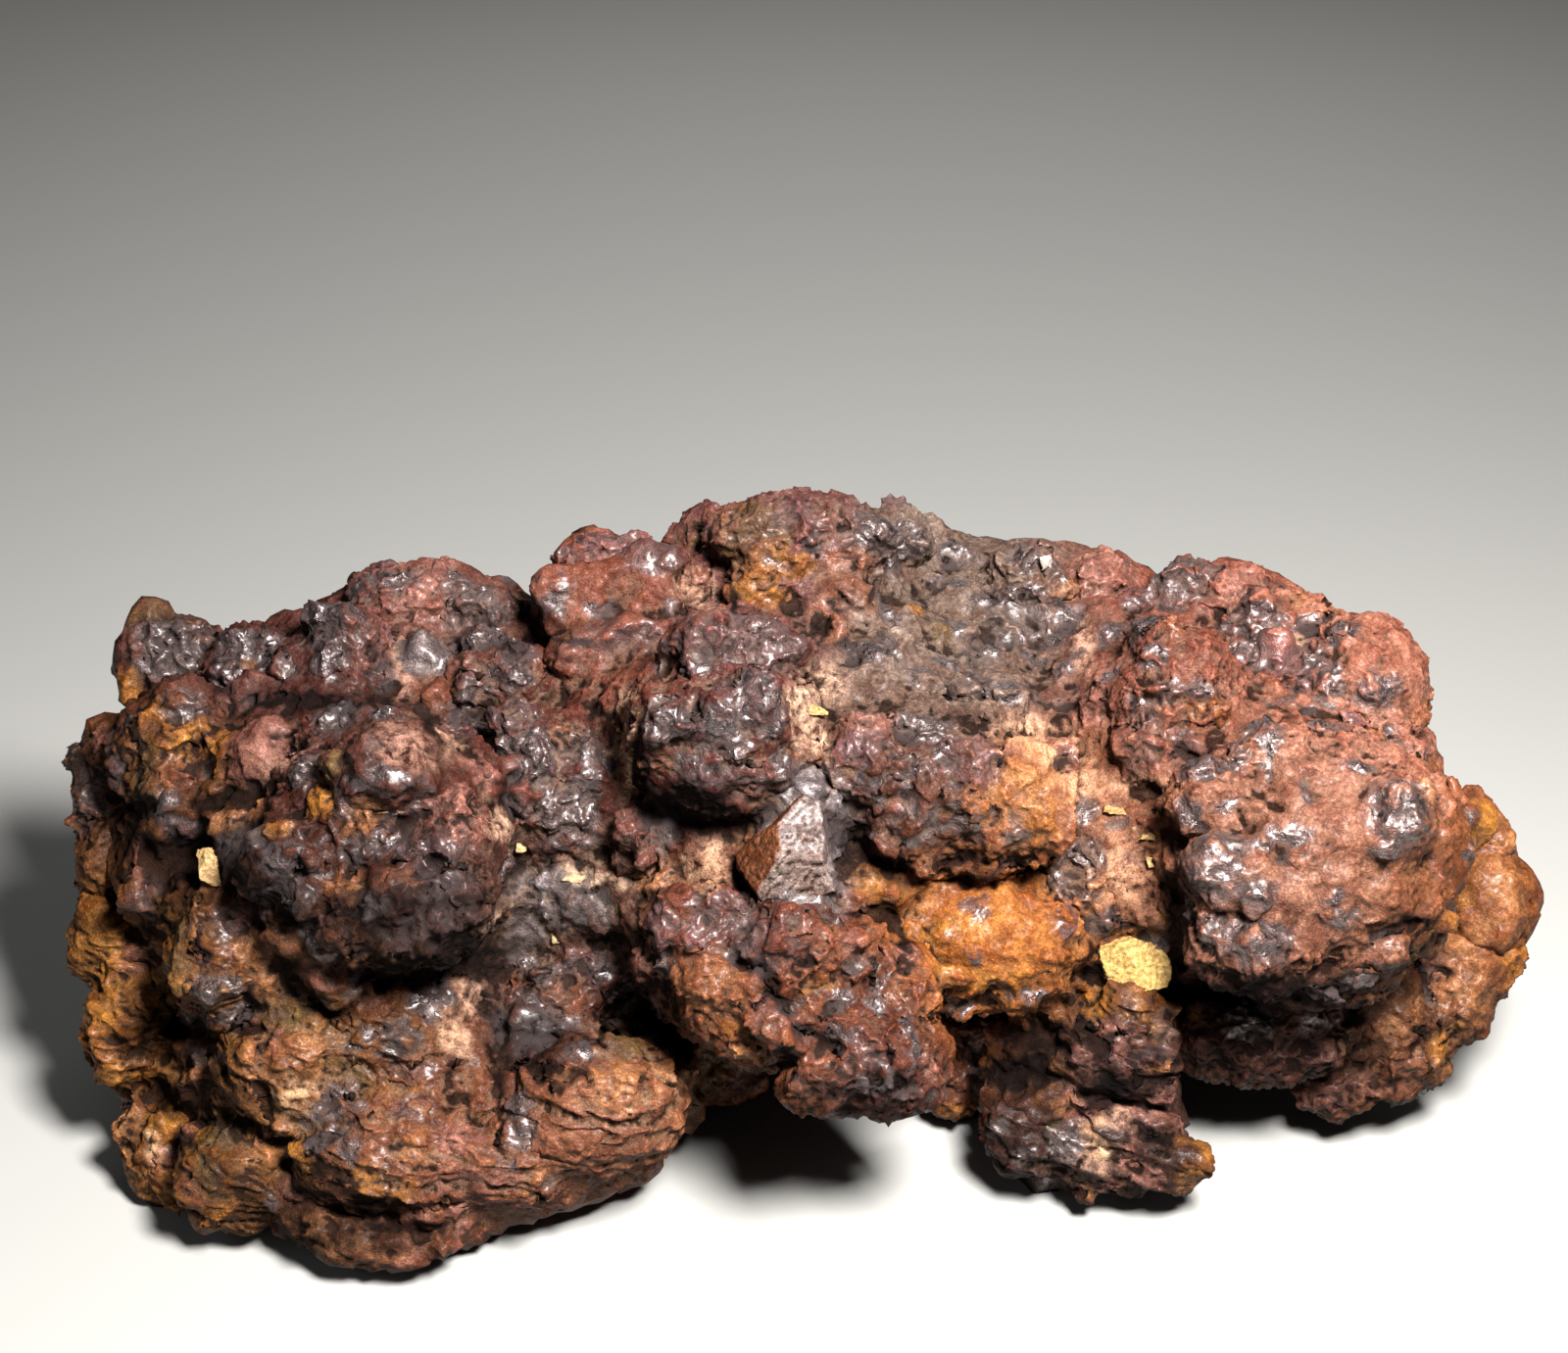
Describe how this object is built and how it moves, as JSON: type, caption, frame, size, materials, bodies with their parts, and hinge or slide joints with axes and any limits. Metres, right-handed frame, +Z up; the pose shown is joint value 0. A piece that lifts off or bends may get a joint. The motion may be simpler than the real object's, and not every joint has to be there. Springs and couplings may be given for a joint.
{
  "type": "botryoidal hematite specimen",
  "caption": "Loose hand specimen of botryoidal hematite: rounded, knobbly metallic masses on an ochre-stained core, for display on a shelf.",
  "frame": {"origin": "middle of the specimen's footprint, on the surface that it stands on", "axes": "+X along the specimen, to the right as the display face is looked at; the display face looks to -Y and up; +Z up from the surface"},
  "size_m": [0.15, 0.0796, 0.0617],
  "materials": {
    "hematite": "dark maroon-brown stone with a metallic sheen on the knobs, ochre and orange stains, dusty tan hollows"
  },
  "bodies": {
    "root": {"hematite": "hematite"}
  },
  "joints": []
}
